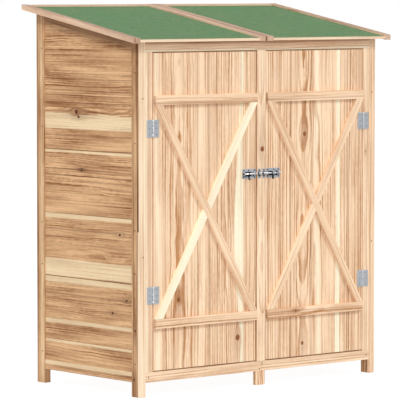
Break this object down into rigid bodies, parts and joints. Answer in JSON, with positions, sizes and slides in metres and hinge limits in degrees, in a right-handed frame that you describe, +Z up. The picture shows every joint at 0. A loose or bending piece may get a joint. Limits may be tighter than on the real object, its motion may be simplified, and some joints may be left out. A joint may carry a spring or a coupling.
{
  "type": "wooden tool shed",
  "caption": "Small wooden tool shed on short legs with a felted lean-to roof, two cross-braced doors on butt hinges and a barrel bolt on each door.",
  "frame": {"origin": "on the ground, at the middle of the roof's footprint", "axes": "+X to the right seen from the front, +Y from the front to the back, +Z up"},
  "size_m": [1.39, 0.734, 1.5592],
  "materials": {
    "wood_frame": "planed softwood, matt",
    "wood_boards": "planed softwood boards, matt",
    "green_felt": "mineral roofing felt",
    "steel": "zinc plated"
  },
  "bodies": {
    "shed_body": {"front_left_post": "wood_frame", "front_right_post": "wood_frame", "front_center_post": "wood_frame", "center_cover_strip": "wood_frame", "front_header": "wood_frame", "front_bottom_rail": "wood_frame", "door_jambs": "wood_frame", "door_stops": "wood_frame", "left_wall_boards": "wood_boards", "left_wall_stiles": "wood_frame", "left_wall_rails": "wood_frame", "right_wall_boards": "wood_boards", "right_wall_stiles": "wood_frame", "right_wall_rails": "wood_frame", "back_left_post": "wood_frame", "back_right_post": "wood_frame", "back_center_post": "wood_frame", "back_bottom_rail": "wood_frame", "back_top_rail": "wood_frame", "back_wall_boards": "wood_boards", "floor": "wood_boards", "floor_bearers": "wood_frame", "roof_deck": "wood_boards", "roof_felt": "green_felt", "left_verge": "wood_frame", "right_verge": "wood_frame", "roof_center_battens": "wood_frame", "roof_front_edge": "wood_frame", "roof_back_edge": "wood_frame", "frame_hinge_leaves": "steel", "bolt_keepers": "steel"},
    "left_door": {"left_door_boards": "wood_boards", "left_door_ledges": "wood_frame", "left_door_long_brace": "wood_frame", "left_door_short_braces": "wood_frame", "left_door_hinge_leaves": "steel", "left_bolt_plate": "steel"},
    "right_door": {"right_door_boards": "wood_boards", "right_door_ledges": "wood_frame", "right_door_long_brace": "wood_frame", "right_door_short_braces": "wood_frame", "right_door_hinge_leaves": "steel", "right_bolt_plate": "steel"},
    "left_bolt": {"left_bolt_rod": "steel"},
    "right_bolt": {"right_bolt_rod": "steel"}
  },
  "joints": [
    {"name": "left_door_hinge", "type": "hinge", "parent": "shed_body", "child": "left_door", "pos_m": [-0.5705, -0.3336, 0.7375], "axis": [0, 0, -1], "range_deg": [0, 105]},
    {"name": "right_door_hinge", "type": "hinge", "parent": "shed_body", "child": "right_door", "pos_m": [0.5705, -0.3336, 0.7375], "axis": [0, 0, 1], "range_deg": [0, 105]},
    {"name": "left_bolt_slide", "type": "slide", "parent": "left_door", "child": "left_bolt", "axis": [1, 0, 0], "range_m": [0, 0.016]},
    {"name": "right_bolt_slide", "type": "slide", "parent": "right_door", "child": "right_bolt", "axis": [-1, 0, 0], "range_m": [0, 0.016]}
  ]
}
